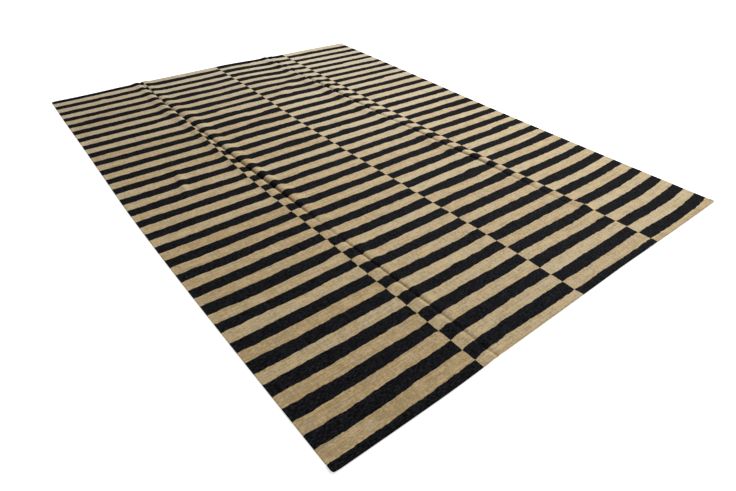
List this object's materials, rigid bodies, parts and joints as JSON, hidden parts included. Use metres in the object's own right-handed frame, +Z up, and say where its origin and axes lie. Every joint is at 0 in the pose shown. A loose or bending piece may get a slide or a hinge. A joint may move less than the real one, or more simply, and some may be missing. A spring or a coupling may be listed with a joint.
{
  "type": "kilim rug",
  "caption": "Large flat-woven rug with plain stripes in alternating columns and turned-under ends, lying flat with soft storage creases along its length.",
  "frame": {"origin": "on the floor, under the middle of the rug's box", "axes": "+X across the rug to its right side, +Y along it to its far end, +Z up out of the face"},
  "size_m": [2.5526, 3.471, 0.0188],
  "materials": {
    "wool": "matt flat-woven wool, beige ground with near-black stripes, heathered, slightly fuzzy"
  },
  "bodies": {
    "root": {"rug": "wool"}
  },
  "joints": []
}
